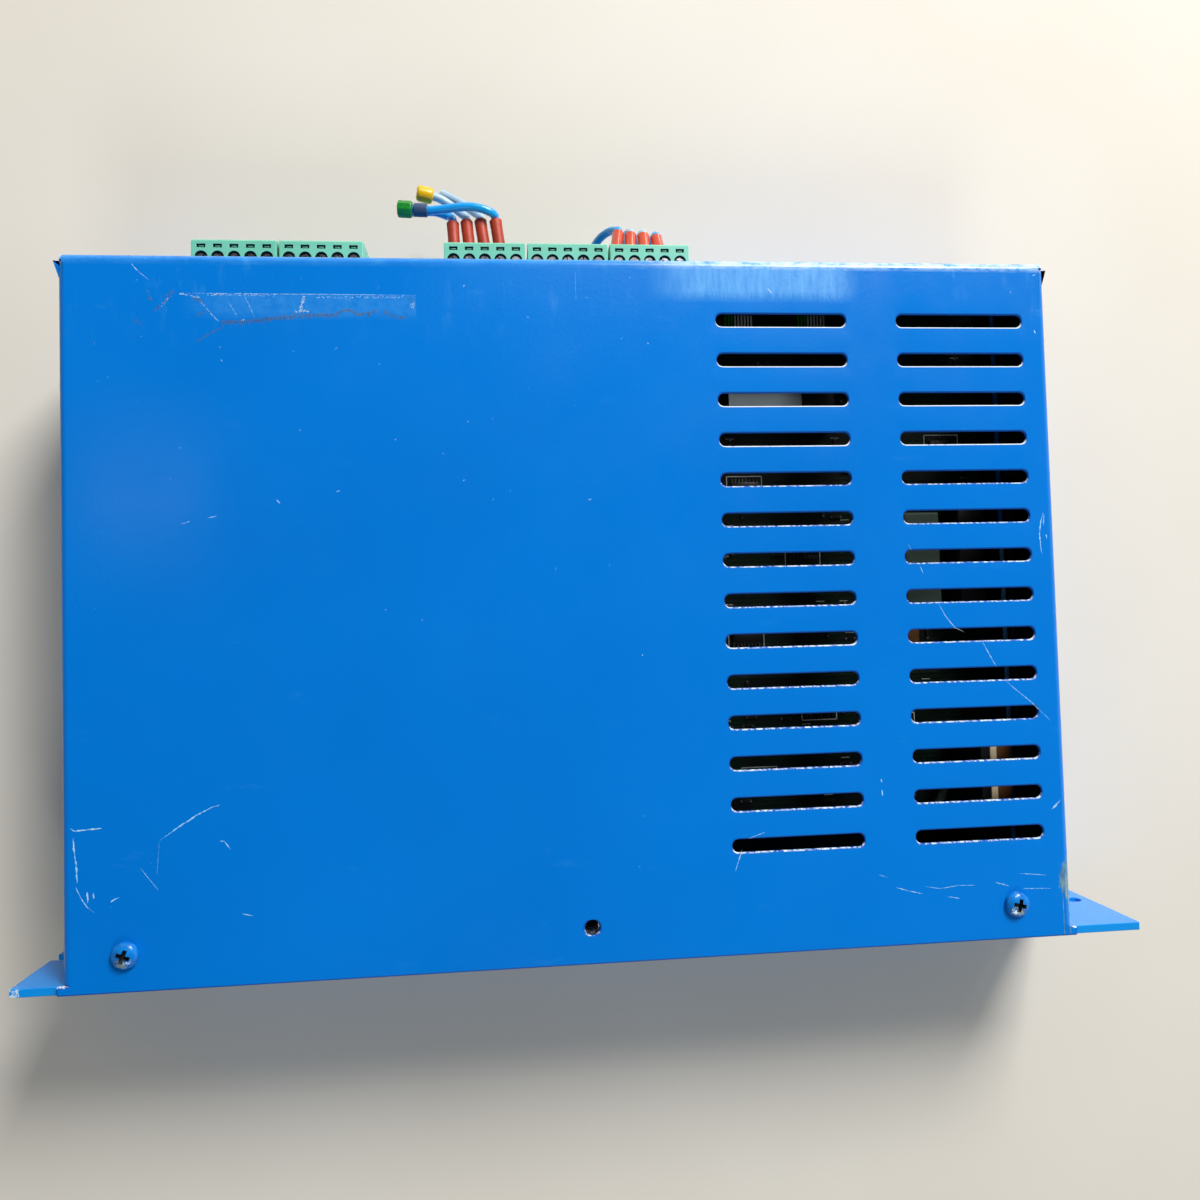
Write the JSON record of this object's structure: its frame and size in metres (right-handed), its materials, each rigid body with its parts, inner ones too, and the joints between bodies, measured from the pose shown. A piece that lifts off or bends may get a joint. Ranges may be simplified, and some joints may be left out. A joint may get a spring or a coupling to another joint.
{
  "type": "screw-mounted power supply",
  "caption": "Low sheet-steel power supply case with a vented face, flanged mounting plate and pluggable screw terminal blocks.",
  "frame": {"origin": "bottom centre of the case, its flanges and its plugs, on the surface it lies on", "axes": "+Z out of the vented face, +Y out of the terminal panel, X along the long side"},
  "size_m": [0.3446, 0.2544, 0.0607],
  "materials": {
    "blue_powder_coat": "semi-gloss powder coat, scratched",
    "painted_screw": "painted over, chipped at the recess",
    "zinc_steel": "zinc plated",
    "circuit_board": "solder resist",
    "green_plastic": "moulded",
    "core_steel": "laminated and varnished",
    "black_plastic": "moulded",
    "grey_plastic": "moulded",
    "extruded_aluminium": "extruded",
    "fuse_glass": "clear",
    "orange_sleeve": "shrunk sleeve",
    "blue_wire": "PVC insulation",
    "grey_wire": "PVC insulation",
    "grey_marker": "slip-on marker",
    "green_marker": "slip-on marker",
    "yellow_marker": "slip-on marker"
  },
  "bodies": {
    "case": {"mounting_plate": "blue_powder_coat", "base_pan": "blue_powder_coat", "vented_cover": "blue_powder_coat", "face_screw_left": "painted_screw", "face_screw_right": "painted_screw", "end_screw_left_front": "painted_screw", "end_screw_left_rear": "painted_screw", "end_screw_right_front": "painted_screw", "end_screw_right_rear": "painted_screw", "face_nut_left": "zinc_steel", "face_nut_middle": "zinc_steel", "face_nut_right": "zinc_steel", "main_board": "circuit_board", "board_standoff_1": "zinc_steel", "board_screw_1": "zinc_steel", "board_standoff_2": "zinc_steel", "board_screw_2": "zinc_steel", "board_standoff_3": "zinc_steel", "board_screw_3": "zinc_steel", "board_standoff_4": "zinc_steel", "board_screw_4": "zinc_steel", "board_header_1": "green_plastic", "board_header_2": "green_plastic", "board_header_3": "green_plastic", "board_header_4": "green_plastic", "board_header_5": "green_plastic", "transformer": "core_steel", "bulk_capacitor_1": "black_plastic", "bulk_capacitor_2": "black_plastic", "heat_sink": "extruded_aluminium", "rectifier_bridge": "black_plastic", "filter_capacitor_1": "grey_plastic", "filter_capacitor_2": "grey_plastic", "firmware_chip": "black_plastic", "output_relay": "black_plastic", "mains_fuse": "fuse_glass"},
    "plug_1": {"terminal_plug_1": "green_plastic"},
    "plug_2": {"terminal_plug_2": "green_plastic"},
    "plug_3": {"terminal_plug_3": "green_plastic", "wire_3a": "blue_wire", "wire_3b": "grey_wire", "wire_3c": "grey_wire", "wire_3d": "blue_wire", "sleeve_3a": "orange_sleeve", "sleeve_3b": "orange_sleeve", "sleeve_3c": "orange_sleeve", "sleeve_3d": "orange_sleeve", "marker_grey": "grey_marker", "marker_green": "green_marker", "marker_yellow": "yellow_marker"},
    "plug_4": {"terminal_plug_4": "green_plastic"},
    "plug_5": {"terminal_plug_5": "green_plastic", "wire_5a": "blue_wire", "wire_5b": "grey_wire", "wire_5c": "grey_wire", "wire_5d": "blue_wire", "sleeve_5a": "orange_sleeve", "sleeve_5b": "orange_sleeve", "sleeve_5c": "orange_sleeve", "sleeve_5d": "orange_sleeve"}
  },
  "joints": [
    {"name": "plug_1_pull", "type": "slide", "parent": "case", "child": "plug_1", "axis": [0, 1, 0], "range_m": [0, 0.012]},
    {"name": "plug_2_pull", "type": "slide", "parent": "case", "child": "plug_2", "axis": [0, 1, 0], "range_m": [0, 0.012]},
    {"name": "plug_3_pull", "type": "slide", "parent": "case", "child": "plug_3", "axis": [0, 1, 0], "range_m": [0, 0.012]},
    {"name": "plug_4_pull", "type": "slide", "parent": "case", "child": "plug_4", "axis": [0, 1, 0], "range_m": [0, 0.012]},
    {"name": "plug_5_pull", "type": "slide", "parent": "case", "child": "plug_5", "axis": [0, 1, 0], "range_m": [0, 0.012]}
  ]
}
